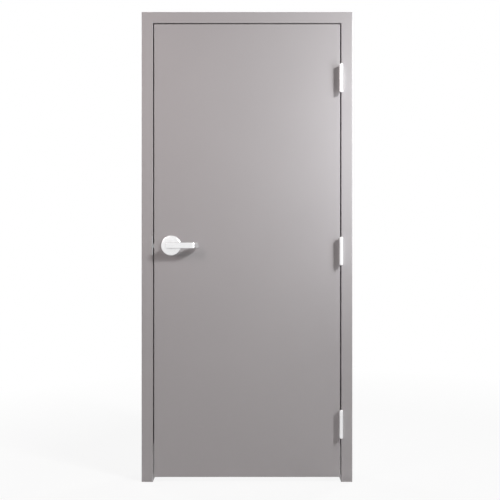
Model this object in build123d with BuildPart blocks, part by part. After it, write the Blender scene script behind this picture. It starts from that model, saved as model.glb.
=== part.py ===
from build123d import *
import os

# Flush steel fire door, shut in its pressed steel frame, in millimetres.
# Seen from the pull side, which is the front, +X runs to the right, +Y runs into the wall
# and +Z runs up. The origin is the centre of the hinge jamb's foot, on the floor.
# The leaf is a pair of steel pans over a core, hung on three butt hinges at the right.
# A lever on a round rose draws back the spring latch at the left.

# Opening, from rabbet to rabbet and from the floor to the head rabbet
opening_width = 834.0
opening_height = 2032.0

# Pressed steel frame, the same folded section up both jambs and along the head
face_width = 50.0
jamb_depth = 146.0
frame_sheet = 1.5
frame_bend = 3.0
return_length = 12.7
rabbet_depth = 49.5
stop_height = 16.0
stop_end_height = 150.0

# Leaf
leaf_thickness = 44.5
leaf_gap = 5.0
undercut = 22.0
leaf_sheet = 1.2
leaf_bend = 2.2
lock_edge_bevel = 2.8
seam_gap = 0.6
channel_sheet = 1.5
channel_recess = 20.0

# Butt hinges, with an odd number of knuckles shared between two leaves
hinge_height = 114.3
hinge_gauge = 3.7
hinge_inset = 38.1
pin_projection = 19.0
barrel_radius = 8.3
pin_radius = 4.5
pin_clearance = 0.08
knuckle_count = 5
knuckle_gap = 0.6
pin_tip = 6.2
pin_tip_round = 4.6
top_hinge_drop = 247.65
hinge_spacing = 762.0
pocket_play = 0.2
hinge_screw_radius = 2.9
hinge_screw_head_radius = 5.3
hinge_screw_rows = (14.5, 43.0)
hinge_screw_near_edge = 9.5
hinge_screw_near_barrel = 25.0

# Lever lock
lock_height = 1047.0
backset = 76.0
cross_bore_radius = 27.0
rose_radius = 44.45
rose_thickness = 10.0
rose_rim = 4.5
rose_wall = 1.6
neck_radius = 11.5
neck_clearance = 0.5
lever_standoff = 53.5
lever_bar = 13.0
lever_height = 26.0
lever_tail = 14.0
lever_bend_at = 100.0
lever_reach = 119.5
lever_tip_standoff = 18.0
lever_edge = 4.0
spindle_size = 8.0

# Spring latch and strike
latch_throw = 12.7
bolt_depth = 13.0
bolt_height = 17.0
bolt_tail = 25.0
bolt_play = 0.4
latch_bore_radius = 12.7
latch_tube_wall = 1.4
latch_tube_length = 44.0
faceplate_height = 57.15
faceplate_width = 28.6
faceplate_gauge = 2.4
faceplate_screw_spacing = 41.3
faceplate_screw_radius = 2.2
faceplate_screw_head_radius = 4.1
strike_height = 123.8
strike_gauge = 2.4
strike_inset = 11.0
strike_lip_height = 85.7
strike_lip_radius = 4.4
strike_hole_depth = 18.0
strike_hole_height = 23.0
strike_screw_spacing = 104.8

# Steel inside the frame
reinforcement_gauge = 4.5
reinforcement_length = 250.0
guard_sheet = 0.9
guard_depth = 18.0
wall_anchor_setback = 34.0
wall_anchor_height = 76.0
wall_anchor_leg = 22.0
wall_anchor_levels = (470.0, 820.0, 1240.0, 1570.0)
wall_anchor_hole_radius = 3.0
wall_anchor_hole_spacing_y = 70.0
wall_anchor_hole_spacing_z = 44.0
floor_anchor_gauge = 3.0
floor_anchor_width = 40.0
floor_anchor_leg = 38.0
floor_anchor_hole_radius = 5.0
floor_anchor_hole_spacing = 76.0

# Rubber silencers on the strike jamb's stop
silencer_levels = (300.0, 1180.0, 1790.0)
silencer_radius = 6.0
silencer_height = 4.0
silencer_stem_radius = 3.2
silencer_stem_length = 8.0

# Planes and levels that follow from the sizes above
hinge_rabbet_x = -face_width / 2
strike_rabbet_x = hinge_rabbet_x - opening_width
opening_middle_x = hinge_rabbet_x - opening_width / 2
front_y = -jamb_depth / 2
back_y = jamb_depth / 2
stop_y = front_y + rabbet_depth
lock_slope = lock_edge_bevel / leaf_thickness
leaf_back_y = front_y + leaf_thickness
leaf_middle_y = front_y + leaf_thickness / 2
hinge_edge_x = hinge_rabbet_x - leaf_gap
lock_edge_x = strike_rabbet_x + leaf_gap
latch_edge_x = lock_edge_x + lock_edge_bevel / 2
leaf_bottom_z = undercut
leaf_top_z = opening_height - leaf_gap
pin_x = hinge_rabbet_x - leaf_gap / 2
pin_y = front_y - pin_projection
hinge_levels = tuple(opening_height - top_hinge_drop - n * hinge_spacing for n in range(3))
hinge_names = ("top", "middle", "bottom")
plate_end_y = front_y + hinge_inset
lock_x = lock_edge_x + backset
opening_middle = Plane.YZ.offset(opening_middle_x)
sheet_back_y = front_y + frame_sheet


def save(part, name):
    """Label a finished piece and write it as the node of that name."""
    part.label = name
    export_step(part, f"parts/{name}.step")


def frame_section(plane):
    """Folded section on a plane whose local x runs away from the opening and local y into the wall."""
    half = jamb_depth / 2
    rabbet = half - rabbet_depth
    tight_bend = frame_bend - frame_sheet
    with BuildSketch(plane) as section:
        with BuildLine():
            FilletPolyline(
                (face_width, -half + return_length),
                (face_width, -half),
                (0, -half),
                (0, -rabbet),
                (-stop_height, -rabbet),
                (-stop_height, rabbet),
                (0, rabbet),
                (0, half),
                (face_width, half),
                (face_width, half - return_length),
                radius=[
                    frame_bend,
                    frame_bend,
                    tight_bend,
                    frame_bend,
                    frame_bend,
                    tight_bend,
                    frame_bend,
                    frame_bend,
                ],
            )
            offset(amount=frame_sheet, side=Side.RIGHT)
        make_face()
    return section.sketch


def mitre(side):
    """Mitre plane between the head and a jamb; side is 1 at the hinges and -1 at the strike."""
    corner_x = opening_middle_x + side * opening_width / 2
    return Plane(origin=(corner_x, 0, opening_height), x_dir=(0, 1, 0), z_dir=(-side, 0, 1))


def plain_hinge_jamb():
    """Hinge jamb with its mitred top and its stop ended above the floor, before anything is cut in it."""
    half_soffit = jamb_depth / 2 - rabbet_depth
    stop_x = hinge_rabbet_x - stop_height
    lap = 0.9
    with BuildPart() as jamb:
        extrude(frame_section(Plane((hinge_rabbet_x, 0, 0))), amount=opening_height + face_width)
        split(bisect_by=mitre(1), keep=Keep.BOTTOM)
        with BuildSketch(Plane.XZ):
            Polygon(
                (hinge_rabbet_x, -1),
                (hinge_rabbet_x, stop_end_height),
                (stop_x - 1, stop_end_height + stop_height + 1),
                (stop_x - 1, -1),
                align=None,
            )
        extrude(amount=half_soffit + 1, both=True, mode=Mode.SUBTRACT)
        with Locations((hinge_rabbet_x, 0, 0)):
            Box(
                frame_sheet,
                2 * (half_soffit + frame_sheet),
                stop_end_height + frame_sheet,
                align=(Align.MIN, Align.CENTER, Align.MIN),
            )
        with BuildSketch(Plane.XZ):
            Polygon(
                (hinge_rabbet_x + lap, stop_end_height - lap),
                (stop_x + lap, stop_end_height + stop_height - lap),
                (stop_x + lap, stop_end_height + stop_height - lap + 1.4 * frame_sheet),
                (hinge_rabbet_x + lap, stop_end_height - lap + 1.4 * frame_sheet),
                align=None,
            )
        extrude(amount=half_soffit - lap, both=True)
    return jamb.part


def cut_hinge_pockets(edge_x, into):
    """Cut the three leaf-deep pockets for hinge plates into the edge at edge_x; into is the way in."""
    depth = hinge_gauge
    width = hinge_inset + pocket_play + pin_projection
    for level in hinge_levels:
        with Locations((edge_x - into * leaf_gap / 4, front_y - pin_projection, level)):
            Box(
                depth + leaf_gap / 4,
                width,
                hinge_height + 2 * pocket_play,
                align=(Align.MIN if into > 0 else Align.MAX, Align.MIN, Align.CENTER),
                mode=Mode.SUBTRACT,
            )


def hinge_plate(level, face_x, into, first_knuckle):
    """One leaf of a hinge: a plate let into the steel behind face_x, and every other knuckle."""
    bottom = level - hinge_height / 2
    pitch = hinge_height / knuckle_count
    with BuildPart() as plate:
        with BuildSketch(Plane.XY.offset(bottom)):
            with Locations((face_x + into * hinge_gauge / 2, (pin_y + plate_end_y) / 2)):
                Rectangle(hinge_gauge, plate_end_y - pin_y)
            with Locations((pin_x, pin_y)):
                Circle(barrel_radius)
                Circle(pin_radius + pin_clearance, mode=Mode.SUBTRACT)
        extrude(amount=hinge_height)
        for knuckle in range(1 - first_knuckle, knuckle_count, 2):
            with Locations((pin_x, pin_y, bottom + (knuckle + 0.5) * pitch)):
                Cylinder(barrel_radius + knuckle_gap, pitch + knuckle_gap, mode=Mode.SUBTRACT)
        for row in (-1, 1):
            for spacing, setback in zip(hinge_screw_rows, (hinge_screw_near_barrel, hinge_screw_near_edge)):
                hole = (face_x, plate_end_y - setback, level + row * spacing)
                with Locations(Plane(hole, z_dir=(-into, 0, 0))):
                    CounterSinkHole(hinge_screw_radius, hinge_screw_head_radius, hinge_gauge)
    return plate.part


def hinge_pin(level):
    """Pin through all the knuckles, with a low button on each end."""
    half = hinge_height / 2
    with BuildPart() as pin:
        with Locations((pin_x, pin_y, level)):
            Cylinder(pin_radius, hinge_height)
        with Locations((pin_x, pin_y, level + half), (pin_x, pin_y, level - half - pin_tip)):
            Cylinder(barrel_radius, pin_tip, align=(Align.CENTER, Align.CENTER, Align.MIN))
        rims = pin.edges().filter_by(GeomType.CIRCLE).group_by(Axis.Z)
        fillet(rims[0] + rims[-1], radius=pin_tip_round)
    return pin.part


def hinge_reinforcement(level):
    """Joggled plate welded inside the hinge jamb, on which the hinge plate seats."""
    seat = hinge_rabbet_x + hinge_gauge
    weld = hinge_rabbet_x + frame_sheet
    seat_half = hinge_height / 2 + 3
    joggle = 6
    half = reinforcement_length / 2
    with BuildPart() as plate:
        with BuildSketch(Plane((0, plate_end_y + 2, level), x_dir=(1, 0, 0), z_dir=(0, -1, 0))):
            with BuildLine():
                Polyline(
                    (weld, -half),
                    (weld, -seat_half - joggle),
                    (seat, -seat_half),
                    (seat, seat_half),
                    (weld, seat_half + joggle),
                    (weld, half),
                )
                offset(amount=reinforcement_gauge, side=Side.RIGHT, kind=Kind.INTERSECTION)
            make_face()
        extrude(amount=hinge_inset - frame_bend)
        for row in (-1, 1):
            for spacing, setback in zip(hinge_screw_rows, (hinge_screw_near_barrel, hinge_screw_near_edge)):
                hole = (seat, plate_end_y - setback, level + row * spacing)
                with Locations(Plane(hole, z_dir=(-1, 0, 0))):
                    Hole(hinge_screw_radius * 0.8, 2 * reinforcement_gauge)
    return plate.part


def wall_anchor(level):
    """Strap bent to a channel and welded across the hinge jamb, for screws into the wall."""
    inside = jamb_depth / 2 - frame_sheet
    with BuildPart() as anchor:
        with BuildSketch(Plane((hinge_rabbet_x, 0, level - wall_anchor_height / 2))):
            with BuildLine():
                FilletPolyline(
                    (wall_anchor_setback - wall_anchor_leg, -inside),
                    (wall_anchor_setback, -inside),
                    (wall_anchor_setback, inside),
                    (wall_anchor_setback - wall_anchor_leg, inside),
                    radius=frame_bend,
                )
                offset(amount=frame_sheet, side=Side.LEFT)
            make_face()
        extrude(amount=wall_anchor_height)
        with Locations(Plane((hinge_rabbet_x + wall_anchor_setback, 0, level), x_dir=(0, 1, 0), z_dir=(1, 0, 0))):
            with GridLocations(wall_anchor_hole_spacing_y, wall_anchor_hole_spacing_z, 2, 2):
                Hole(wall_anchor_hole_radius, 2 * frame_sheet)
    return anchor.part


def floor_anchor():
    """Clip welded in the foot of the hinge jamb, with two holes for floor bolts."""
    inside = jamb_depth / 2 - frame_sheet
    with BuildPart() as anchor:
        with BuildSketch(Plane((-floor_anchor_width / 2, 0, 0), x_dir=(0, 1, 0), z_dir=(1, 0, 0))):
            with BuildLine():
                FilletPolyline(
                    (-inside, floor_anchor_leg),
                    (-inside, 0),
                    (inside, 0),
                    (inside, floor_anchor_leg),
                    radius=floor_anchor_gauge * 1.5,
                )
                offset(amount=floor_anchor_gauge, side=Side.LEFT)
            make_face()
        extrude(amount=floor_anchor_width)
        with Locations((0, 0, floor_anchor_gauge)):
            with GridLocations(floor_anchor_hole_spacing, floor_anchor_hole_spacing, 1, 2):
                Hole(floor_anchor_hole_radius, 2 * floor_anchor_gauge)
    return anchor.part


def leaf_outline(sheet):
    """Plan of the leaf as four corners, taken in by a sheet thickness; the lock edge is bevelled."""
    across = sheet * (1 + lock_slope**2) ** 0.5
    return (
        (lock_edge_x + across + lock_slope * sheet, front_y + sheet),
        (hinge_edge_x - sheet, front_y + sheet),
        (hinge_edge_x - sheet, leaf_back_y - sheet),
        (lock_edge_x + lock_edge_bevel + across - lock_slope * sheet, leaf_back_y - sheet),
    )


def pan(face_y, seam_y):
    """Steel pan: one face of the leaf and, down both edges, a flange that stops at the seam."""
    toward_back = face_y > leaf_middle_y
    with BuildPart() as sheet:
        with BuildSketch(Plane.XY.offset(leaf_bottom_z)):
            with BuildLine():
                FilletPolyline(
                    (lock_edge_x + lock_slope * (seam_y - front_y), seam_y),
                    (lock_edge_x + lock_slope * (face_y - front_y), face_y),
                    (hinge_edge_x, face_y),
                    (hinge_edge_x, seam_y),
                    radius=leaf_bend,
                )
                offset(amount=leaf_sheet, side=Side.RIGHT if toward_back else Side.LEFT)
            make_face()
        extrude(amount=leaf_top_z - leaf_bottom_z)
        cut_hinge_pockets(hinge_edge_x, -1)
        cut_lock_bores()
    return sheet.part


def cut_lock_bores():
    """Cut the cross bore for the lock, the bore for the latch, and the faceplate's seat."""
    with Locations(Plane((lock_x, leaf_middle_y, lock_height), x_dir=(1, 0, 0), z_dir=(0, -1, 0))):
        Cylinder(cross_bore_radius, 2 * leaf_thickness, mode=Mode.SUBTRACT)
    with Locations(Plane((latch_edge_x, leaf_middle_y, lock_height), z_dir=(1, 0, 0))):
        Cylinder(
            latch_bore_radius,
            backset,
            align=(Align.CENTER, Align.CENTER, Align.MIN),
            mode=Mode.SUBTRACT,
        )
    with Locations(lock_edge_plane()):
        Box(
            faceplate_width,
            faceplate_height,
            2 * faceplate_gauge,
            mode=Mode.SUBTRACT,
        )


def lock_edge_plane():
    """Plane on the bevelled lock edge at the latch, facing out, with local y running up."""
    return Plane(
        origin=(latch_edge_x, leaf_middle_y, lock_height),
        x_dir=(-lock_edge_bevel, -leaf_thickness, 0),
        z_dir=(-leaf_thickness, lock_edge_bevel, 0),
    )


def end_channel(end_z, inward):
    """Channel closing the top or bottom of the leaf, its web set back from the end."""
    first_x = lock_edge_x + lock_edge_bevel + leaf_bend
    last_x = hinge_edge_x - leaf_bend
    with BuildPart() as channel:
        with BuildSketch(Plane((first_x, 0, 0), x_dir=(0, 1, 0), z_dir=(1, 0, 0))):
            with BuildLine():
                FilletPolyline(
                    (front_y + leaf_sheet, end_z),
                    (front_y + leaf_sheet, end_z + inward * channel_recess),
                    (leaf_back_y - leaf_sheet, end_z + inward * channel_recess),
                    (leaf_back_y - leaf_sheet, end_z),
                    radius=leaf_bend,
                )
                offset(amount=channel_sheet, side=Side.LEFT if inward < 0 else Side.RIGHT)
            make_face()
        extrude(amount=last_x - first_x)
    return channel.part


def rose(face_y, outward):
    """Spun round rose on a leaf face; outward is -1 on the pull side and 1 on the push side."""
    hole = neck_radius + neck_clearance
    with BuildPart() as cover:
        with BuildSketch(Plane((lock_x, face_y, lock_height), x_dir=(1, 0, 0), z_dir=(0, 0, outward))):
            with BuildLine():
                Polyline(
                    (hole, rose_thickness - rose_wall),
                    (hole, rose_thickness),
                    (rose_radius * 0.55, rose_thickness),
                )
                Line((rose_radius * 0.55, rose_thickness), (rose_radius - rose_rim, rose_thickness - 1.6))
                ThreePointArc(
                    (rose_radius - rose_rim, rose_thickness - 1.6),
                    (rose_radius - rose_rim * 0.27, rose_thickness - rose_rim * 0.75),
                    (rose_radius, rose_thickness - rose_rim - 1.8),
                )
                Polyline(
                    (rose_radius, rose_thickness - rose_rim - 1.8),
                    (rose_radius, 0),
                    (rose_radius - rose_wall, 0),
                    (rose_radius - rose_wall, rose_thickness - rose_rim - 2.4),
                    (rose_radius - rose_rim, rose_thickness - rose_wall - 1.8),
                    (rose_radius * 0.55, rose_thickness - rose_wall),
                    (hole, rose_thickness - rose_wall),
                )
            make_face()
        revolve(axis=Axis((lock_x, face_y, lock_height), (0, 1, 0)))
    return cover.part


def lever(face_y, outward):
    """Lever handle pointing at the hinges, its end turned back towards the leaf."""
    base = Plane((lock_x, face_y, lock_height), x_dir=(1, 0, 0), z_dir=(0, 0, outward))
    with BuildPart() as handle:
        with BuildSketch(base):
            with BuildLine():
                FilletPolyline(
                    (-lever_tail, lever_standoff),
                    (lever_bend_at, lever_standoff),
                    (lever_reach, lever_tip_standoff),
                    radius=lever_bar * 0.6,
                )
                offset(amount=lever_bar / 2)
            make_face()
        extrude(amount=lever_height / 2, both=True)
        outline = handle.edges().group_by(Axis.Z)
        fillet(outline[0] + outline[-1], radius=lever_edge)
        with BuildSketch(Plane((lock_x, face_y + outward, lock_height), x_dir=(1, 0, 0), z_dir=(0, outward, 0))):
            Circle(neck_radius)
        extrude(amount=lever_standoff - 1)
    return handle.part


os.makedirs("parts", exist_ok=True)

# Hinge jamb, notched for the hinge plates
with BuildPart() as hinge_jamb:
    add(plain_hinge_jamb())
    cut_hinge_pockets(hinge_rabbet_x, 1)
save(hinge_jamb.part, "hinge_jamb")

# Strike jamb, cut for the strike with its lip, and drilled for the silencers
with BuildPart() as strike_jamb:
    mirror(plain_hinge_jamb(), about=opening_middle)
    with Locations((strike_rabbet_x + leaf_gap / 4, front_y + strike_inset, lock_height)):
        Box(
            strike_gauge + leaf_gap / 4,
            hinge_inset - strike_inset + pocket_play,
            strike_height + 2 * pocket_play,
            align=(Align.MAX, Align.MIN, Align.CENTER),
            mode=Mode.SUBTRACT,
        )
    with Locations((strike_rabbet_x + leaf_gap / 4, front_y - 1, lock_height)):
        Box(
            strike_lip_radius + leaf_gap / 4,
            strike_inset + 2,
            strike_lip_height + 4 * pocket_play,
            align=(Align.MAX, Align.MIN, Align.CENTER),
            mode=Mode.SUBTRACT,
        )
    for level in silencer_levels:
        with Locations(Plane((strike_rabbet_x + stop_height / 2, stop_y, level), z_dir=(0, -1, 0))):
            Hole(silencer_stem_radius, 2 * frame_bend)
save(strike_jamb.part, "strike_jamb")

# Head, mitred between the jambs
with BuildPart() as frame_head:
    head_start = Plane((face_width / 2, 0, opening_height), x_dir=(0, 0, 1), z_dir=(-1, 0, 0))
    extrude(frame_section(head_start), amount=opening_width + 2 * face_width)
    split(bisect_by=mitre(1), keep=Keep.TOP)
    split(bisect_by=mitre(-1), keep=Keep.TOP)
save(frame_head.part, "frame_head")

# Hinges: the frame plate carries the outer and middle knuckles, the leaf plate the rest
for name, level in zip(hinge_names, hinge_levels):
    save(hinge_plate(level, hinge_rabbet_x, 1, 0), f"{name}_hinge_frame_plate")
    save(hinge_plate(level, hinge_edge_x, -1, 1), f"{name}_hinge_leaf_plate")
    save(hinge_pin(level), f"{name}_hinge_pin")
    save(hinge_reinforcement(level), f"{name}_hinge_reinforcement")

# Anchors of both jambs
for number, level in enumerate(wall_anchor_levels, start=1):
    anchor = wall_anchor(level)
    save(anchor, f"hinge_jamb_wall_anchor_{number}")
    with BuildPart() as strike_side_anchor:
        mirror(anchor, about=opening_middle)
    save(strike_side_anchor.part, f"strike_jamb_wall_anchor_{number}")
save(floor_anchor(), "hinge_jamb_floor_anchor")
with BuildPart() as strike_jamb_floor_anchor:
    mirror(floor_anchor(), about=opening_middle)
save(strike_jamb_floor_anchor.part, "strike_jamb_floor_anchor")

# Strike plate, flush in the jamb, its lip turned in behind the notch of the face
with BuildPart() as strike_plate:
    with Locations((strike_rabbet_x, front_y + strike_inset, lock_height)):
        Box(
            strike_gauge,
            hinge_inset - strike_inset,
            strike_height,
            align=(Align.MAX, Align.MIN, Align.CENTER),
        )
    lip_centre = (strike_rabbet_x - strike_lip_radius, front_y + strike_inset)
    with BuildSketch(Plane.XY.offset(lock_height - strike_lip_height / 2)):
        with Locations(lip_centre):
            Circle(strike_lip_radius)
            Circle(strike_lip_radius - strike_gauge, mode=Mode.SUBTRACT)
            Rectangle(
                4 * strike_lip_radius,
                2 * strike_lip_radius,
                align=(Align.CENTER, Align.MIN),
                mode=Mode.SUBTRACT,
            )
            Rectangle(
                2 * strike_lip_radius,
                4 * strike_lip_radius,
                align=(Align.MAX, Align.CENTER),
                mode=Mode.SUBTRACT,
            )
    extrude(amount=strike_lip_height)
    with Locations((strike_rabbet_x, leaf_middle_y, lock_height)):
        Box(4 * strike_gauge, strike_hole_depth, strike_hole_height, mode=Mode.SUBTRACT)
    for side in (-1, 1):
        screw_level = lock_height + side * strike_screw_spacing / 2
        with Locations(Plane((strike_rabbet_x, leaf_middle_y, screw_level), z_dir=(1, 0, 0))):
            CounterSinkHole(hinge_screw_radius, hinge_screw_head_radius, strike_gauge)
save(strike_plate.part, "strike_plate")

# Plate welded behind the strike, and the sheet box that guards the bolt's hole from mortar
with BuildPart() as strike_reinforcement:
    weld_x = strike_rabbet_x - frame_sheet
    with Locations((weld_x, plate_end_y + 3, lock_height)):
        Box(
            reinforcement_gauge,
            hinge_inset - strike_inset + 3 + strike_lip_radius,
            strike_height + 50,
            align=(Align.MAX, Align.MAX, Align.CENTER),
        )
    with Locations((weld_x, plate_end_y, lock_height)):
        Box(
            2 * (strike_gauge - frame_sheet),
            2 * hinge_inset,
            strike_height + 2 * pocket_play,
            align=(Align.CENTER, Align.MAX, Align.CENTER),
            mode=Mode.SUBTRACT,
        )
    with Locations((weld_x, plate_end_y, lock_height)):
        Box(
            4 * reinforcement_gauge,
            2 * hinge_inset,
            strike_lip_height + 4 * pocket_play,
            align=(Align.CENTER, Align.MAX, Align.CENTER),
            mode=Mode.SUBTRACT,
        )
    for side in (-1, 1):
        screw_level = lock_height + side * strike_screw_spacing / 2
        with Locations(Plane((weld_x, leaf_middle_y, screw_level), z_dir=(1, 0, 0))):
            Hole(hinge_screw_radius * 0.8, 2 * reinforcement_gauge)
save(strike_reinforcement.part, "strike_reinforcement")

with BuildPart() as strike_guard_box:
    box_mouth_x = strike_rabbet_x - frame_sheet - reinforcement_gauge
    box_width = plate_end_y + 3 - sheet_back_y - frame_sheet
    with Locations((box_mouth_x, plate_end_y + 3, lock_height)):
        Box(
            guard_depth,
            box_width,
            strike_lip_height + 12,
            align=(Align.MAX, Align.MAX, Align.CENTER),
        )
    mouth = strike_guard_box.faces().sort_by(Axis.X)[-1]
    offset(amount=-guard_sheet, openings=mouth)
save(strike_guard_box.part, "strike_guard_box")

# Silencers pressed into the stop, just clear of the shut leaf
for name, level in zip(("bottom", "middle", "top"), silencer_levels):
    with BuildPart() as silencer:
        with BuildSketch(Plane((strike_rabbet_x + stop_height / 2, stop_y, level), z_dir=(0, -1, 0))):
            Circle(silencer_radius)
        extrude(amount=silencer_height, taper=12)
        fillet(silencer.edges().sort_by(Axis.Y)[0], radius=1.2)
        with BuildSketch(Plane((strike_rabbet_x + stop_height / 2, stop_y, level), z_dir=(0, 1, 0))):
            Circle(silencer_stem_radius)
        extrude(amount=silencer_stem_length, taper=4)
    save(silencer.part, f"{name}_silencer")

# Leaf: two pans, the core they are bonded to, and the channels that close its ends
save(pan(front_y, leaf_middle_y - seam_gap / 2), "leaf_front_pan")
save(pan(leaf_back_y, leaf_middle_y + seam_gap / 2), "leaf_back_pan")
with BuildPart() as leaf_core:
    with BuildSketch(Plane.XY.offset(leaf_bottom_z + channel_recess)):
        with BuildLine():
            Polyline(*leaf_outline(leaf_sheet), close=True)
        make_face()
    extrude(amount=leaf_top_z - leaf_bottom_z - 2 * channel_recess)
    chamfer(leaf_core.edges().filter_by(Axis.Z), length=leaf_bend - leaf_sheet + 0.1)
    cut_hinge_pockets(hinge_edge_x, -1)
    cut_lock_bores()
save(leaf_core.part, "leaf_core")
save(end_channel(leaf_top_z, -1), "leaf_top_channel")
save(end_channel(leaf_bottom_z, 1), "leaf_bottom_channel")

# Roses, levers and the spindle that joins them
save(rose(front_y, -1), "outside_rose")
save(rose(leaf_back_y, 1), "inside_rose")
save(lever(front_y, -1), "outside_lever")
save(lever(leaf_back_y, 1), "inside_lever")
with BuildPart() as lever_spindle:
    with BuildSketch(Plane((lock_x, leaf_middle_y, lock_height), x_dir=(1, 0, 0), z_dir=(0, 1, 0))):
        Rectangle(spindle_size, spindle_size)
    extrude(amount=leaf_thickness / 2 + 1, both=True)
save(lever_spindle.part, "lever_spindle")

# Lock body in the cross bore, with a clear round hole for the spindle
with BuildPart() as lock_body:
    with BuildSketch(Plane((lock_x, front_y, lock_height), x_dir=(1, 0, 0), z_dir=(0, 1, 0))):
        Circle(cross_bore_radius - pocket_play)
        Circle(spindle_size, mode=Mode.SUBTRACT)
    extrude(amount=leaf_thickness)
    with Locations((lock_x - cross_bore_radius, leaf_middle_y, lock_height)):
        Box(
            2 * latch_throw,
            bolt_depth + 4,
            bolt_height + 4,
            mode=Mode.SUBTRACT,
        )
save(lock_body.part, "lock_body")

# Latch: faceplate and tube fixed in the leaf, bolt sliding through them
with BuildPart() as latch_faceplate:
    with BuildSketch(lock_edge_plane()):
        Rectangle(faceplate_width, faceplate_height)
    extrude(amount=-faceplate_gauge)
    with Locations(Plane((latch_edge_x + faceplate_gauge, leaf_middle_y, lock_height), z_dir=(1, 0, 0))):
        Cylinder(
            latch_bore_radius - pocket_play / 2,
            latch_tube_length - faceplate_gauge,
            align=(Align.CENTER, Align.CENTER, Align.MIN),
        )
        Cylinder(
            latch_bore_radius - latch_tube_wall,
            latch_tube_length,
            align=(Align.CENTER, Align.CENTER, Align.MIN),
            mode=Mode.SUBTRACT,
        )
    with Locations((latch_edge_x, leaf_middle_y, lock_height)):
        Box(
            4 * faceplate_gauge,
            bolt_depth + 2 * bolt_play,
            bolt_height + 2 * bolt_play,
            mode=Mode.SUBTRACT,
        )
    with Locations(lock_edge_plane()):
        with GridLocations(faceplate_width, faceplate_screw_spacing, 1, 2):
            CounterSinkHole(faceplate_screw_radius, faceplate_screw_head_radius, faceplate_gauge)
save(latch_faceplate.part, "latch_faceplate")

with BuildPart() as latch_bolt:
    bolt_front_y = leaf_middle_y - bolt_depth / 2
    bolt_back_y = leaf_middle_y + bolt_depth / 2
    tip_x = latch_edge_x - latch_throw
    with BuildSketch(Plane.XY.offset(lock_height - bolt_height / 2)):
        with BuildLine():
            Polyline(
                (latch_edge_x - 1, bolt_back_y),
                (latch_edge_x + bolt_tail, bolt_back_y),
                (latch_edge_x + bolt_tail, bolt_front_y),
                (tip_x, bolt_front_y),
                (tip_x, bolt_front_y + 2.5),
            )
            ThreePointArc(
                (tip_x, bolt_front_y + 2.5),
                (tip_x + latch_throw * 0.36, leaf_middle_y + 1.4),
                (latch_edge_x - 1, bolt_back_y),
            )
        make_face()
    extrude(amount=bolt_height)
save(latch_bolt.part, "latch_bolt")
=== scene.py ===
"""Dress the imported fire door: painted leaf and frame, satin hinges and lever, fixings, lamps and camera.

All lengths are in metres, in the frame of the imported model: +X to the right of the pull side,
+Y into the wall, +Z up, with the origin under the hinge jamb.
"""

import logging
import math
from abc import ABC, abstractmethod
from dataclasses import dataclass
from enum import Enum
from typing import ClassVar, Iterable, Mapping, Sequence

import bmesh
import bpy
from mathutils import Matrix, Vector


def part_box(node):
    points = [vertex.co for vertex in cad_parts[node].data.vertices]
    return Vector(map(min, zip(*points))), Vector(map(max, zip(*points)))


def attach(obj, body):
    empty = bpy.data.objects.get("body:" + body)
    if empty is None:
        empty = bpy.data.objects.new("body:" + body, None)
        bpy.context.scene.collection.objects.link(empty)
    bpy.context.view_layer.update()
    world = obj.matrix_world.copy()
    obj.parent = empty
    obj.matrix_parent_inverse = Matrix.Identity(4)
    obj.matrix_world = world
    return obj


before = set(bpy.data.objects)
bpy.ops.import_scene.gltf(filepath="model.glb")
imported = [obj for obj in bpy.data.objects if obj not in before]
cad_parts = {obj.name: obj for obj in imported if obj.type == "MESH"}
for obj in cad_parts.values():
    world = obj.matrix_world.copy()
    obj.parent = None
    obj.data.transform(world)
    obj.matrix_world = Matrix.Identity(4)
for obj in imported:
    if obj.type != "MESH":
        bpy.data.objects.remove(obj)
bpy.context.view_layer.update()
LEVELS = ("top", "middle", "bottom")
SIDES = (-1, 1)

logger = logging.getLogger("fire_door")

Colour = tuple[float, float, float]
Place = tuple[float, float, float]
Ring = Sequence[bmesh.types.BMVert]

NEUTRAL: Colour = (1.0, 1.0, 1.0)
COOL: Colour = (0.93, 0.965, 1.0)
WARM: Colour = (1.0, 0.86, 0.85)
GREY: Colour = (0.392, 0.374, 0.379)
STAINLESS: Colour = (0.86, 0.86, 0.865)


class Body(Enum):
    """Rigid bodies that the added pieces ride on."""

    FRAME = "frame"
    LEAF = "leaf"


class Grain(Enum):
    """Which way a metal's fine scratches run, as noise frequencies per metre along X, Y and Z."""

    UPRIGHT = (2600.0, 2600.0, 45.0)
    ALONG_LEVER = (45.0, 2600.0, 2600.0)
    NONE = (900.0, 900.0, 900.0)


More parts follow.
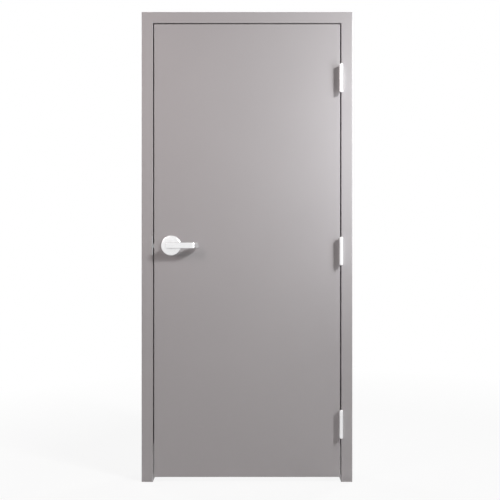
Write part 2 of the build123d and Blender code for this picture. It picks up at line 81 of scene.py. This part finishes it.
class Signal:
    """Shader socket that takes part in Python expressions; each operator adds a Math node."""

    middle: ClassVar[float] = 0.5

    def __init__(self, graph: "Graph", socket: bpy.types.NodeSocket) -> None:
        """Hold one output socket of a graph."""
        self.graph = graph
        self.socket = socket

    def _math(self, operation: str, *operands: "Signal | float") -> "Signal":
        """Return the result of one Math node."""
        return self.graph.node("ShaderNodeMath", {"operation": operation}, dict(enumerate(operands)))

    def __add__(self, other: "Signal | float") -> "Signal":
        """Return self + other."""
        return self._math("ADD", self, other)

    def __radd__(self, other: float) -> "Signal":
        """Return other + self."""
        return self._math("ADD", other, self)

    def __sub__(self, other: "Signal | float") -> "Signal":
        """Return self - other."""
        return self._math("SUBTRACT", self, other)

    def __rsub__(self, other: float) -> "Signal":
        """Return other - self."""
        return self._math("SUBTRACT", other, self)

    def __mul__(self, other: "Signal | float") -> "Signal":
        """Return self * other."""
        return self._math("MULTIPLY", self, other)

    def __rmul__(self, other: float) -> "Signal":
        """Return other * self."""
        return self._math("MULTIPLY", other, self)

    def __truediv__(self, other: "Signal | float") -> "Signal":
        """Return self / other."""
        return self._math("DIVIDE", self, other)

    def __rtruediv__(self, other: float) -> "Signal":
        """Return other / self."""
        return self._math("DIVIDE", other, self)

    def at_least(self, floor: "Signal | float") -> "Signal":
        """Return the larger of self and floor."""
        return self._math("MAXIMUM", self, floor)

    def at_most(self, ceiling: "Signal | float") -> "Signal":
        """Return the smaller of self and ceiling."""
        return self._math("MINIMUM", self, ceiling)

    def swing(self, reach: float) -> "Signal":
        """Return how far self is from its middle value, times a reach."""
        return (self - self.middle) * reach


class Graph:
    """Node tree of one material or world, written through one method."""

    direct_rays: ClassVar[tuple[str, ...]] = ("Is Camera Ray", "Is Glossy Ray", "Is Transmission Ray")

    def __init__(self, tree: bpy.types.NodeTree) -> None:
        """Take a tree and empty it."""
        self.tree = tree
        self.tree.nodes.clear()

    def node(
        self,
        kind: str,
        settings: Mapping[str, object] | None = None,
        inputs: Mapping[str | int, object] | None = None,
        output: str | int = 0,
    ) -> Signal:
        """Add one node.

        Args:
            kind: The node's type.
            settings: Its settings, which are set first.
            inputs: Values or signals, by the socket's name or number.
            output: The output that is wanted.

        Returns:
            The wanted output.
        """
        node = self.tree.nodes.new(kind)
        for name, value in (settings or {}).items():
            setattr(node, name, value)
        for key, value in (inputs or {}).items():
            if isinstance(value, Signal):
                self.tree.links.new(value.socket, node.inputs[key])
            else:
                node.inputs[key].default_value = value
        wanted = node.outputs[output] if len(node.outputs) else node.inputs[0]
        return Signal(self, wanted)

    def mix(self, mask: Signal, first: object, second: object) -> Signal:
        """Return the first colour where the mask is 0 and the second where it is 1."""
        return self.node("ShaderNodeMix", {"data_type": "RGBA"}, {0: mask, 6: first, 7: second}, 2)

    def place(self, frequency: Place = (1.0, 1.0, 1.0)) -> Signal:
        """Return the piece's own coordinates, in metres, times a frequency for each axis."""
        coordinates = self.node("ShaderNodeTexCoord", output="Object")
        return self.node("ShaderNodeVectorMath", {"operation": "MULTIPLY"}, {0: coordinates, 1: frequency})

    def noise(self, place: Signal, scale: float, detail: float, roughness: float = 0.5) -> Signal:
        """Return a noise value, mostly between 0.3 and 0.7.

        Args:
            place: Where it is looked up.
            scale: Lumps per unit of place.
            detail: How many finer layers are added.
            roughness: How strong the finer layers are.

        Returns:
            The noise's value.
        """
        inputs = {"Vector": place, "Scale": scale, "Detail": detail, "Roughness": roughness}
        return self.node("ShaderNodeTexNoise", {"noise_dimensions": "3D"}, inputs)

    def bump(self, height: Signal, depth: float, under: Signal | None = None) -> Signal:
        """Show a height as relief.

        Args:
            height: The height, from 0 to 1.
            depth: The relief's depth in metres.
            under: A normal that it is laid over.

        Returns:
            The bent normal.
        """
        inputs = {"Strength": 1.0, "Distance": depth, "Height": height}
        if under is not None:
            inputs["Normal"] = under
        return self.node("ShaderNodeBump", None, inputs)

    def seen_directly(self) -> Signal:
        """Return 1 for camera, glossy and transmission rays, and 0 for the rays that light the door."""
        camera, glossy, transmission = (
            self.node("ShaderNodeLightPath", output=name) for name in self.direct_rays
        )
        return camera.at_least(glossy).at_least(transmission)

    def surface(self, inputs: Mapping[str | int, object]) -> Signal:
        """Return a Principled shader with the given sockets."""
        return self.node("ShaderNodeBsdfPrincipled", None, inputs)


def opaque(colour: Iterable[float]) -> tuple[float, ...]:
    """Return a colour with full alpha."""
    return (*colour, 1.0)


def shaded(colour: Colour, factor: float) -> tuple[float, ...]:
    """Return a colour times a factor, with full alpha."""
    return opaque(channel * factor for channel in colour)


class Finish(ABC):
    """Surface finish that becomes one material."""

    name: str
    made: ClassVar[dict[str, bpy.types.Material]] = {}

    @abstractmethod
    def shade(self, graph: Graph) -> Signal:
        """Return the surface shader, built in the given graph."""

    def make(self) -> bpy.types.Material:
        """Build the material the first time it is asked for.

        Returns:
            The material of this finish.
        """
        if self.name not in self.made:
            material = bpy.data.materials.new(self.name)
            material.use_nodes = True
            graph = Graph(material.node_tree)
            graph.node("ShaderNodeOutputMaterial", None, {"Surface": self.shade(graph)})
            self.made[self.name] = material
        return self.made[self.name]


@dataclass(frozen=True)
class Paint(Finish):
    """Sprayed enamel on steel sheet: an even colour, a faint orange peel and a satin gloss."""

    name: str
    colour: Colour
    roughness: float = 0.43
    contrast: float = 0.016
    clouds_per_metre: float = 2.3
    cloud_share: float = 2.2
    cloud_gloss: float = 0.10
    specks_per_metre: float = 700.0
    speck_share: float = 0.7
    speck_gloss: float = 0.05
    peel_lump: float = 0.0032
    peel_depth: float = 0.000028
    wave_lump: float = 0.30
    wave_depth: float = 0.00035

    def shade(self, graph: Graph) -> Signal:
        """Build a satin paint with slight clouding in its colour and gloss.

        Args:
            graph: The graph to build in.

        Returns:
            The surface shader.
        """
        place = graph.place()
        cloud = graph.noise(place, self.clouds_per_metre, detail=3.0)
        speck = graph.noise(place, self.specks_per_metre, detail=1.0)
        peel = graph.noise(place, 1 / self.peel_lump, detail=2.0, roughness=0.4)
        wave = graph.noise(place, 1 / self.wave_lump, detail=0.0)
        mask = cloud.swing(self.cloud_share) + speck.swing(self.speck_share) + Signal.middle
        dark, light = shaded(self.colour, 1 - self.contrast), shaded(self.colour, 1 + self.contrast)
        gloss = self.roughness + cloud.swing(self.cloud_gloss) + speck.swing(self.speck_gloss)
        relief = graph.bump(peel, self.peel_depth, graph.bump(wave, self.wave_depth))
        return graph.surface(
            {"Base Color": graph.mix(mask, dark, light), "Roughness": gloss, "Normal": relief}
        )


@dataclass(frozen=True)
class Satin(Finish):
    """Brushed or spun metal with a fine grain and faint handling marks."""

    name: str
    colour: Colour
    roughness: float = 0.30
    grain: Grain = Grain.UPRIGHT
    grain_depth: float = 0.000012
    grain_share: float = 2.4
    grain_gloss: float = 0.16
    streak: float = 0.05
    marks_per_metre: float = 38.0
    mark_gloss: float = 0.10

    def shade(self, graph: Graph) -> Signal:
        """Build a metal whose grain varies its colour, gloss and relief.

        Args:
            graph: The graph to build in.

        Returns:
            The surface shader.
        """
        grain = graph.noise(graph.place(self.grain.value), 1.0, detail=3.0, roughness=0.6)
        mark = graph.noise(graph.place(), self.marks_per_metre, detail=4.0)
        mask = grain.swing(self.grain_share) + Signal.middle
        dark, light = shaded(self.colour, 1 - self.streak), shaded(self.colour, 1 + self.streak / 2)
        return graph.surface(
            {
                "Base Color": graph.mix(mask, dark, light),
                "Metallic": 1.0,
                "Roughness": self.roughness + grain.swing(self.grain_gloss) + mark.swing(self.mark_gloss),
                "Normal": graph.bump(grain, self.grain_depth),
            }
        )


@dataclass(frozen=True)
class Galvanised(Finish):
    """Zinc-coated sheet with a soft spangle, as it comes from the coil."""

    name: str
    colour: Colour
    metallic: float = 0.85
    roughness: float = 0.40
    spangle: float = 0.011
    spangle_share: float = 0.6
    spangle_gloss: float = 0.16
    dust_per_metre: float = 60.0
    dust_gloss: float = 0.12
    dust_depth: float = 0.00006
    darkest: float = 0.84
    lightest: float = 1.06

    def shade(self, graph: Graph) -> Signal:
        """Build a dull zinc whose crystals differ in shade and gloss.

        Args:
            graph: The graph to build in.

        Returns:
            The surface shader.
        """
        cells = graph.node(
            "ShaderNodeTexVoronoi",
            {"feature": "F1"},
            {"Vector": graph.place(), "Scale": 1 / self.spangle, "Randomness": 1.0},
            "Color",
        )
        crystal = graph.node("ShaderNodeSeparateColor", None, {0: cells})
        dust = graph.noise(graph.place(), self.dust_per_metre, detail=4.0)
        mask = crystal * self.spangle_share + dust * (1 - self.spangle_share)
        dark, light = shaded(self.colour, self.darkest), shaded(self.colour, self.lightest)
        return graph.surface(
            {
                "Base Color": graph.mix(mask, dark, light),
                "Metallic": self.metallic,
                "Roughness": self.roughness + crystal * self.spangle_gloss + dust.swing(self.dust_gloss),
                "Normal": graph.bump(dust, self.dust_depth),
            }
        )


@dataclass(frozen=True)
class Rubber(Finish):
    """Moulded rubber, matt and slightly dusty."""

    name: str
    colour: Colour
    roughness: float = 0.74
    teeth_per_metre: float = 1500.0
    tooth_depth: float = 0.00004
    dust_per_metre: float = 240.0
    dust_gloss: float = 0.16
    darkest: float = 0.9
    lightest: float = 1.12

    def shade(self, graph: Graph) -> Signal:
        """Build a matt rubber with a fine tooth.

        Args:
            graph: The graph to build in.

        Returns:
            The surface shader.
        """
        tooth = graph.noise(graph.place(), self.teeth_per_metre, detail=2.0)
        dust = graph.noise(graph.place(), self.dust_per_metre, detail=3.0)
        dark, light = shaded(self.colour, self.darkest), shaded(self.colour, self.lightest)
        return graph.surface(
            {
                "Base Color": graph.mix(dust, dark, light),
                "Roughness": self.roughness + dust.swing(self.dust_gloss),
                "Normal": graph.bump(tooth, self.tooth_depth),
            }
        )


@dataclass(frozen=True)
class Honeycomb(Finish):
    """Kraft board in cells, with painted shade inside the cells, seen only where the leaf is cut."""

    name: str
    colour: Colour
    roughness: float = 0.86
    cell: float = 0.012
    cell_jitter: float = 0.15
    wall_sharpness: float = 9.0
    cell_shade_share: float = 0.75
    wall_depth: float = 0.0008
    fibre: Place = (120.0, 120.0, 900.0)
    fibre_gloss: float = 0.1
    # Painted shade: darkest is the colour painted inside the cells, where shade would fall; lightest is
    # the light cell walls.
    darkest: float = 0.45
    lightest: float = 1.1

    def shade(self, graph: Graph) -> Signal:
        """Build a brown board with painted shade inside its cells, so that the light cell walls stand out.

        Args:
            graph: The graph to build in.

        Returns:
            The surface shader.
        """
        edge = graph.node(
            "ShaderNodeTexVoronoi",
            {"feature": "DISTANCE_TO_EDGE"},
            {"Vector": graph.place(), "Scale": 1 / self.cell, "Randomness": self.cell_jitter},
            "Distance",
        )
        # Painted shade: the inside of each cell is darkened as if in shade and the thin walls stay light;
        # the fibre noise adds the board's own tone.
        painted_cell_shade = (edge * self.wall_sharpness).at_most(1.0)
        fibre = graph.noise(graph.place(self.fibre), 1.0, detail=4.0)
        mask = painted_cell_shade * self.cell_shade_share + fibre * (1 - self.cell_shade_share)
        light, dark = shaded(self.colour, self.lightest), shaded(self.colour, self.darkest)
        return graph.surface(
            {
                "Base Color": graph.mix(mask, light, dark),
                "Roughness": self.roughness + fibre.swing(self.fibre_gloss),
                "Normal": graph.bump(1 - painted_cell_shade, self.wall_depth),
            }
        )


@dataclass(frozen=True)
class StudioFloor(Finish):
    """Pale floor that keeps a light shadow near the door and turns white further out."""

    name: str = "studio_floor"
    colour: Colour = (0.86, 0.86, 0.86)
    glow: float = 0.88
    clear_radius: float = 1.4
    fade: float = 1.6

    def shade(self, graph: Graph) -> Signal:
        """Build a floor that is white to the camera and to glossy rays, and plain to other light.

        Args:
            graph: The graph to build in.

        Returns:
            The surface shader.
        """
        reach = graph.node("ShaderNodeVectorMath", {"operation": "LENGTH"}, {0: graph.place()}, "Value")
        far = ((reach - self.clear_radius) / self.fade).at_least(0.0).at_most(1.0)
        share = graph.seen_directly() * (self.glow + far * (1 - self.glow))
        plain = graph.node("ShaderNodeBsdfDiffuse", None, {"Color": opaque(self.colour)})
        white = graph.node("ShaderNodeEmission", None, {"Color": opaque(NEUTRAL), "Strength": 1.0})
        return graph.node("ShaderNodeMixShader", None, {0: share, 1: plain, 2: white})


FRAME_PAINT = Paint("grey_frame_enamel", GREY)
LEAF_PAINT = Paint("grey_leaf_enamel", GREY)
HINGE_STEEL = Satin("satin_hinge_stainless", STAINLESS, roughness=0.34)
LEVER_STEEL = Satin("satin_lever_stainless", STAINLESS, roughness=0.26, grain=Grain.ALONG_LEVER)
ROSE_STEEL = Satin("spun_rose_stainless", STAINLESS, roughness=0.28, grain=Grain.NONE)
LATCH_STEEL = Satin("latch_stainless", (0.72, 0.72, 0.73), roughness=0.32)
STRIKE_STEEL = Satin("strike_stainless", (0.76, 0.76, 0.77), roughness=0.34)
SCREW_STEEL = Satin("screw_stainless", (0.80, 0.80, 0.81), roughness=0.28, grain=Grain.NONE)
WELD_STEEL = Satin("weld_spot_steel", (0.42, 0.42, 0.43), roughness=0.5, grain=Grain.NONE)
INNER_STEEL = Galvanised("zinc_coated_sheet", (0.60, 0.61, 0.62))
SILENCER_RUBBER = Rubber("grey_silencer_rubber", (0.20, 0.20, 0.205))
CORE_BOARD = Honeycomb("kraft_core_board", (0.42, 0.29, 0.17))


def dress(finish: Finish, nodes: Iterable[str]) -> None:
    """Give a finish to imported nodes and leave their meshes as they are.

    Args:
        finish: The finish.
        nodes: The nodes' names.
    """
    material = finish.make()
    for name in nodes:
        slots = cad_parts[name].data.materials
        slots.clear()
        slots.append(material)


@dataclass(frozen=True)
class Seat:
    """Where a screw or weld sits: a point on a surface, the way out of it, and a turn about that."""

    point: Vector
    outward: Vector
    turn: float = 0.0

    def matrix(self) -> Matrix:
        """Return the transform that lays +Z along the way out."""
        tilt = Vector((0.0, 0.0, 1.0)).rotation_difference(self.outward).to_matrix().to_4x4()
        return Matrix.Translation(self.point) @ tilt @ Matrix.Rotation(self.turn, 4, "Z")


@dataclass(frozen=True)
class Fixing(ABC):
    """Small round fixing, of which one piece holds several, each on its own seat."""

    finish: ClassVar[Finish]
    sides: ClassVar[int]

    @abstractmethod
    def shape(self, mesh: bmesh.types.BMesh) -> None:
        """Add the fixing at the origin, with +Z as the way out."""

    def ring(self, mesh: bmesh.types.BMesh, radius: float, height: float) -> Ring:
        """Return a ring of new vertices about +Z."""
        steps = [2 * math.pi * n / self.sides for n in range(self.sides)]
        return [mesh.verts.new((radius * math.cos(a), radius * math.sin(a), height)) for a in steps]

    @staticmethod
    def band(mesh: bmesh.types.BMesh, lower: Ring, upper: Ring) -> None:
        """Join two rings with smooth quads.

        Args:
            mesh: The mesh that holds them.
            lower: The first ring.
            upper: The second, with as many vertices.
        """
        for n, start in enumerate(lower):
            after = (n + 1) % len(lower)
            mesh.faces.new((start, lower[after], upper[after], upper[n])).smooth = True

    def piece(self, name: str, seats: Iterable[Seat], body: Body, slot: str) -> bpy.types.Object:
        """Make one piece with a fixing on each seat.

        Args:
            name: The piece's name.
            seats: The seats.
            body: The body it rides on.
            slot: A record's material slot; not used.

        Returns:
            The piece.
        """
        mesh = bmesh.new()
        for seat in seats:
            before = set(mesh.verts)
            self.shape(mesh)
            added = [vertex for vertex in mesh.verts if vertex not in before]
            bmesh.ops.transform(mesh, matrix=seat.matrix(), verts=added)
        bmesh.ops.recalc_face_normals(mesh, faces=mesh.faces)
        data = bpy.data.meshes.new(name)
        mesh.to_mesh(data)
        mesh.free()
        data.materials.append(self.finish.make())
        piece = bpy.data.objects.new(name, data)
        bpy.context.scene.collection.objects.link(piece)
        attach(piece, body.value)
        logger.info("%s rides on %s with %d faces", name, body.value, len(data.polygons))
        return piece


@dataclass(frozen=True)
class CountersunkScrew(Fixing):
    """Flat-headed machine screw with a cross recess."""

    finish: ClassVar[Finish] = SCREW_STEEL
    sides: ClassVar[int] = 48
    head_radius: float
    shank_radius: float
    length: float
    sunk: float = 0.00012
    rim: float = 0.00025
    cone_slope: float = 1.12
    arm_reach: float = 0.62
    arm_width: float = 0.13
    arm_width_kept: float = 0.4
    recess_depth: float = 0.0021
    recess_taper: float = 0.42
    thread_pitch: float = 0.0011
    thread_root: float = 0.88
    fewest_turns: int = 2

    def _cross(self, mesh: bmesh.types.BMesh, scale: float, height: float) -> Ring:
        """Add the corners of the cross recess at one height.

        Args:
            mesh: The mesh to add to.
            scale: The cross's size there, as a share of its size at the top.
            height: The height.

        Returns:
            The twelve corners.
        """
        reach = self.head_radius * self.arm_reach * scale
        kept = self.arm_width_kept
        width = self.head_radius * self.arm_width * (kept + (1 - kept) * scale)
        arm = [Vector((reach, -width, 0)), Vector((reach, width, 0)), Vector((width, width, 0))]
        corners = [Matrix.Rotation(math.pi / 2 * n, 3, "Z") @ corner for n in range(4) for corner in arm]
        return [mesh.verts.new((corner.x, corner.y, height)) for corner in corners]

    @staticmethod
    def _loop(mesh: bmesh.types.BMesh, ring: Ring) -> list[bmesh.types.BMEdge]:
        """Return the closed loop of edges through a ring."""
        pairs = zip(ring, [*ring[1:], ring[0]])
        return [mesh.edges.get(pair) or mesh.edges.new(pair) for pair in pairs]

    def shape(self, mesh: bmesh.types.BMesh) -> None:
        """Add the head, recess and threaded shank.

        Args:
            mesh: The mesh to add to.
        """
        top = -self.sunk
        shoulder = top - self.rim
        cone = shoulder - (self.head_radius - self.shank_radius) * self.cone_slope
        crown = self.ring(mesh, self.head_radius - self.rim, top)
        recess = self._cross(mesh, 1.0, top)
        bottom = self._cross(mesh, self.recess_taper, top - self.recess_depth)
        rings = [crown, self.ring(mesh, self.head_radius, shoulder)]
        rings.append(self.ring(mesh, self.shank_radius, cone))
        turns = max(self.fewest_turns, int((self.length + cone) / self.thread_pitch))
        root_radius = self.shank_radius * self.thread_root
        for n in range(turns):
            height = cone - self.thread_pitch * n
            rings.append(self.ring(mesh, root_radius, height - self.thread_pitch / 2))
            rings.append(self.ring(mesh, self.shank_radius, height - self.thread_pitch))
        for upper, lower in zip(rings, rings[1:]):
            self.band(mesh, lower, upper)
        mesh.faces.new(rings[-1])
        self.band(mesh, bottom, recess)
        mesh.faces.new(bottom)
        edges = self._loop(mesh, crown) + self._loop(mesh, recess)
        bmesh.ops.triangle_fill(mesh, use_beauty=True, edges=edges)


@dataclass(frozen=True)
class WeldSpot(Fixing):
    """Low dished button left by a spot weld."""

    finish: ClassVar[Finish] = WELD_STEEL
    sides: ClassVar[int] = 20
    radius: float = 0.0032
    height: float = 0.0004
    profile: tuple[tuple[float, float], ...] = (
        (1.0, 0.0),
        (0.93, 0.7),
        (0.75, 1.0),
        (0.5, 0.75),
        (0.2, 0.6),
    )

    def shape(self, mesh: bmesh.types.BMesh) -> None:
        """Add the button.

        Args:
            mesh: The mesh to add to.
        """
        rings = [self.ring(mesh, self.radius * reach, self.height * rise) for reach, rise in self.profile]
        for lower, upper in zip(rings, rings[1:]):
            self.band(mesh, lower, upper)
        mesh.faces.new(rings[-1]).smooth = True


PLATE_SCREW = CountersunkScrew(head_radius=0.0051, shank_radius=0.0022, length=0.0127)
FACEPLATE_SCREW = CountersunkScrew(head_radius=0.0039, shank_radius=0.0018, length=0.012)


class SubAssembly(ABC):
    """Group of the door's pieces that is dressed, and given its fixings, together."""

    @abstractmethod
    def dress(self) -> None:
        """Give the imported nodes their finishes."""

    def build(self) -> None:
        """Make the added pieces, where there are any."""


@dataclass
class SteelFrame(SubAssembly):
    """Pressed steel frame with its anchors and the weld spots that hold them."""

    wall_anchors: int = 4
    wall_anchor_gauge: float = 0.0015
    wall_anchor_rows: tuple[float, ...] = (0.25, 0.75)
    floor_anchor_gauge: float = 0.003
    floor_anchor_rows: tuple[float, ...] = (0.7,)
    spot_columns: tuple[float, ...] = (0.3, 0.62)
    spot: WeldSpot = WeldSpot()

    def _wall_anchors(self, side: str) -> list[str]:
        """Return the names of one jamb's wall anchors."""
        return [f"{side}_jamb_wall_anchor_{n + 1}" for n in range(self.wall_anchors)]

    def dress(self) -> None:
        """Paint the frame and leave the anchors in zinc."""
        dress(FRAME_PAINT, ("hinge_jamb", "strike_jamb", "frame_head"))
        for side in ("hinge", "strike"):
            dress(INNER_STEEL, (*self._wall_anchors(side), f"{side}_jamb_floor_anchor"))

    def _leg_seats(self, node: str, gauge: float, rows: Sequence[float]) -> list[Seat]:
        """Find weld seats on the inner faces of a bent anchor's two legs.

        Args:
            node: The anchor.
            gauge: Thickness of the anchor's metal.
            rows: Heights of the spots, as shares of the anchor's height.

        Returns:
            Two seats for each row on each leg.
        """
        low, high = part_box(node)
        seats = []
        for row in rows:
            height = low.z + (high.z - low.z) * row
            for column in self.spot_columns:
                x = low.x + (high.x - low.x) * column
                seats.append(Seat(Vector((x, low.y + gauge, height)), Vector((0, 1, 0))))
                seats.append(Seat(Vector((x, high.y - gauge, height)), Vector((0, -1, 0))))
        return seats

    def build(self) -> None:
        """Make the weld spots of all anchors as one piece for each jamb."""
        for side in ("hinge", "strike"):
            seats = []
            for anchor in self._wall_anchors(side):
                seats += self._leg_seats(anchor, self.wall_anchor_gauge, self.wall_anchor_rows)
            floor_anchor = f"{side}_jamb_floor_anchor"
            seats += self._leg_seats(floor_anchor, self.floor_anchor_gauge, self.floor_anchor_rows)
            self.spot.piece(f"{side}_jamb_weld_spots", seats, Body.FRAME, "inner_steel")


@dataclass
class Leaf(SubAssembly):
    """Flush leaf: two painted pans, their end channels and the core between them."""

    def dress(self) -> None:
        """Paint the steel and show the core as board."""
        dress(LEAF_PAINT, ("leaf_front_pan", "leaf_back_pan", "leaf_top_channel", "leaf_bottom_channel"))
        dress(CORE_BOARD, ("leaf_core",))


@dataclass
class Hinges(SubAssembly):
    """Three butt hinges, each with two plates, a pin and eight screws."""

    jamb_face_width: float = 0.050
    barrel_side: tuple[float, float] = (0.0145, 0.025)
    far_side: tuple[float, float] = (0.043, 0.0095)
    turn_rate: float = 40.0
    screw: CountersunkScrew = PLATE_SCREW

    def dress(self) -> None:
        """Give the plates and pins their satin steel and the plates behind them bare zinc."""
        for level in LEVELS:
            visible = ("frame_plate", "leaf_plate", "pin")
            dress(HINGE_STEEL, (f"{level}_hinge_{piece}" for piece in visible))
            dress(INNER_STEEL, (f"{level}_hinge_reinforcement",))

    def _seats(self, plate: str, face_x: float, outward: Vector) -> list[Seat]:
        """Find the four screw seats of one hinge plate.

        Args:
            plate: The plate.
            face_x: X of its screwed face, which lies flush in the sheet around it.
            outward: The way out of that face.

        Returns:
            The seats. Each row has a height above the plate's middle and a distance from its back edge.
        """
        low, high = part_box(plate)
        middle = (low.z + high.z) / 2
        seats = []
        for side in SIDES:
            for height, setback in (self.barrel_side, self.far_side):
                point = Vector((face_x, high.y - setback, middle + side * height))
                seats.append(Seat(point, outward, turn=height * self.turn_rate + side))
        return seats

    @staticmethod
    def _hinge_side(sheet: str) -> float:
        """Return the X of a sheet's outermost face on the hinge side."""
        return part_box(sheet)[1].x

    def build(self) -> None:
        """Make the screws of all six plates."""
        jamb_x = self._hinge_side("hinge_jamb") - self.jamb_face_width
        leaf_x = self._hinge_side("leaf_front_pan")
        for level in LEVELS:
            seats = self._seats(f"{level}_hinge_frame_plate", jamb_x, Vector((-1, 0, 0)))
            self.screw.piece(f"{level}_hinge_frame_screws", seats, Body.FRAME, "hinge_steel")
            seats = self._seats(f"{level}_hinge_leaf_plate", leaf_x, Vector((1, 0, 0)))
            self.screw.piece(f"{level}_hinge_leaf_screws", seats, Body.LEAF, "hinge_steel")


@dataclass
class LeverLock(SubAssembly):
    """Lever lock: roses, levers, spindle, latch and its faceplate."""

    screw_spacing: float = 0.0413
    lock_edge_bevel: float = 0.0028
    leaf_thickness: float = 0.0445
    first_turn: float = 0.3
    screw: CountersunkScrew = FACEPLATE_SCREW

    def dress(self) -> None:
        """Give each piece of the lock its metal."""
        dress(LEVER_STEEL, ("outside_lever", "inside_lever"))
        dress(ROSE_STEEL, ("outside_rose", "inside_rose"))
        dress(LATCH_STEEL, ("latch_faceplate", "latch_bolt", "lever_spindle", "lock_body"))

    def build(self) -> None:
        """Make the two screws of the latch's faceplate, square to the bevelled edge."""
        low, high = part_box("latch_faceplate")
        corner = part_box("leaf_front_pan")[0]
        slope = self.lock_edge_bevel / self.leaf_thickness
        y = (low.y + high.y) / 2
        x = corner.x + slope * (y - corner.y)
        middle = (low.z + high.z) / 2
        outward = Vector((-1.0, slope, 0.0)).normalized()
        seats = []
        for side in SIDES:
            point = Vector((x, y, middle + side * self.screw_spacing / 2))
            seats.append(Seat(point, outward, turn=self.first_turn + side))
        self.screw.piece("latch_faceplate_screws", seats, Body.LEAF, "latch_steel")


@dataclass
class StrikeSide(SubAssembly):
    """Strike plate in the jamb, with its screws, backing plate, guard box and silencers."""

    screw_spacing: float = 0.1048
    hole_setback: float = 0.02225
    turn_step: float = 0.5
    screw: CountersunkScrew = PLATE_SCREW

    def dress(self) -> None:
        """Give the strike its steel, the hidden plates zinc and the silencers rubber."""
        dress(STRIKE_STEEL, ("strike_plate",))
        dress(INNER_STEEL, ("strike_reinforcement", "strike_guard_box"))
        dress(SILENCER_RUBBER, (f"{level}_silencer" for level in LEVELS))

    def build(self) -> None:
        """Make the strike's two screws."""
        low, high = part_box("strike_plate")
        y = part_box("leaf_front_pan")[0].y + self.hole_setback
        middle = (low.z + high.z) / 2
        seats = []
        for side in SIDES:
            point = Vector((high.x, y, middle + side * self.screw_spacing / 2))
            seats.append(Seat(point, Vector((1, 0, 0)), turn=self.turn_step * side))
        self.screw.piece("strike_screws", seats, Body.FRAME, "strike_steel")


@dataclass(frozen=True)
class SoftBox:
    """Rectangular studio lamp."""

    name: str
    place: Place
    aim: Place
    width: float
    height: float
    power: float
    colour: Colour
    spread: float = 180.0

    def build(self) -> None:
        """Hang the lamp and aim it."""
        data = bpy.data.lights.new(self.name, "AREA")
        data.shape = "RECTANGLE"
        data.size = self.width
        data.size_y = self.height
        data.energy = self.power
        data.color = self.colour
        data.spread = math.radians(self.spread)
        lamp = bpy.data.objects.new(self.name, data)
        lamp.location = self.place
        way = Vector(self.aim) - Vector(self.place)
        lamp.rotation_euler = way.to_track_quat("-Z", "Y").to_euler()
        lamp.visible_camera = False
        bpy.context.scene.collection.objects.link(lamp)


@dataclass
class Studio:
    """White studio: floor, world, lamps and the camera that stands straight in front of the door."""

    floor_half: float = 40.0
    ambient: float = 0.02
    image_pixels: float = 500.0
    door_centre_pixel: tuple[float, float] = (247.0, 246.9)
    metres_per_pixel: float = 0.004429
    camera_distance: float = 3.2
    camera_reach: float = 200.0
    sensor: float = 36.0
    lamps: tuple[SoftBox, ...] = (
        SoftBox("key_lamp", (4.4, -4.6, 5.0), (-0.4, 0.0, 1.0), 0.9, 0.9, 145.0, NEUTRAL),
        SoftBox("near_key_lamp", (2.2, -2.2, 3.2), (-0.1, 0.0, 1.4), 0.4, 0.4, 19.0, NEUTRAL, 80.0),
        SoftBox("right_strip_lamp", (0.5, -0.45, 1.5), (-0.2, 0.0, 1.5), 0.15, 1.0, 3.5, COOL, 150.0),
        SoftBox("left_lamp", (-1.9, -1.5, 2.2), (-0.8, 0.0, 1.4), 0.8, 0.8, 14.0, WARM),
        SoftBox("back_right_lamp", (2.6, 3.4, 3.2), (-0.4, 0.0, 1.1), 1.2, 1.2, 90.0, NEUTRAL),
        SoftBox("back_left_lamp", (-3.4, 2.8, 2.6), (-0.4, 0.0, 1.1), 1.4, 1.4, 60.0, NEUTRAL),
    )

    def build_floor(self) -> None:
        """Lay the floor that the frame stands on."""
        mesh = bmesh.new()
        reach = self.floor_half
        corners = ((-reach, -reach), (reach, -reach), (reach, reach), (-reach, reach))
        mesh.faces.new([mesh.verts.new((x, y, 0.0)) for x, y in corners])
        data = bpy.data.meshes.new("studio_floor")
        mesh.to_mesh(data)
        mesh.free()
        data.materials.append(StudioFloor().make())
        floor = bpy.data.objects.new("studio_floor", data)
        bpy.context.scene.collection.objects.link(floor)

    def build_world(self) -> None:
        """Make a world that looks white and adds a little light from all round."""
        world = bpy.data.worlds.new("studio")
        world.use_nodes = True
        bpy.context.scene.world = world
        graph = Graph(world.node_tree)
        strength = self.ambient + graph.seen_directly() * (1 - self.ambient)
        sky = graph.node("ShaderNodeBackground", None, {"Color": opaque(NEUTRAL), "Strength": strength})
        graph.node("ShaderNodeOutputWorld", None, {"Surface": sky})

    def build_camera(self) -> None:
        """Stand the camera so that the door's centre and size come out as in the photo."""
        low_x, high_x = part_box("strike_jamb")[0].x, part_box("hinge_jamb")[1].x
        front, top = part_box("frame_head")[0].y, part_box("frame_head")[1].z
        middle = self.image_pixels / 2
        x = (low_x + high_x) / 2 + (middle - self.door_centre_pixel[0]) * self.metres_per_pixel
        z = top / 2 - (middle - self.door_centre_pixel[1]) * self.metres_per_pixel
        data = bpy.data.cameras.new("camera")
        data.sensor_width = self.sensor
        data.lens = self.sensor * self.camera_distance / (self.image_pixels * self.metres_per_pixel)
        data.clip_end = self.camera_reach
        camera = bpy.data.objects.new("camera", data)
        camera.location = (x, front - self.camera_distance, z)
        camera.rotation_euler = (math.pi / 2, 0.0, 0.0)
        bpy.context.scene.collection.objects.link(camera)
        bpy.context.scene.camera = camera

    def build(self) -> None:
        """Set up the whole studio."""
        self.build_floor()
        self.build_world()
        for lamp in self.lamps:
            lamp.build()
        self.build_camera()
        bpy.context.scene.view_settings.view_transform = "Standard"


def main() -> None:
    """Dress the door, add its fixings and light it."""
    logging.basicConfig(level=logging.INFO, format="%(name)s: %(message)s")
    for assembly in (SteelFrame(), Leaf(), Hinges(), LeverLock(), StrikeSide()):
        assembly.dress()
        assembly.build()
        logger.info("dressed %s", type(assembly).__name__)
    Studio().build()


if __name__ == "__main__":
    main()
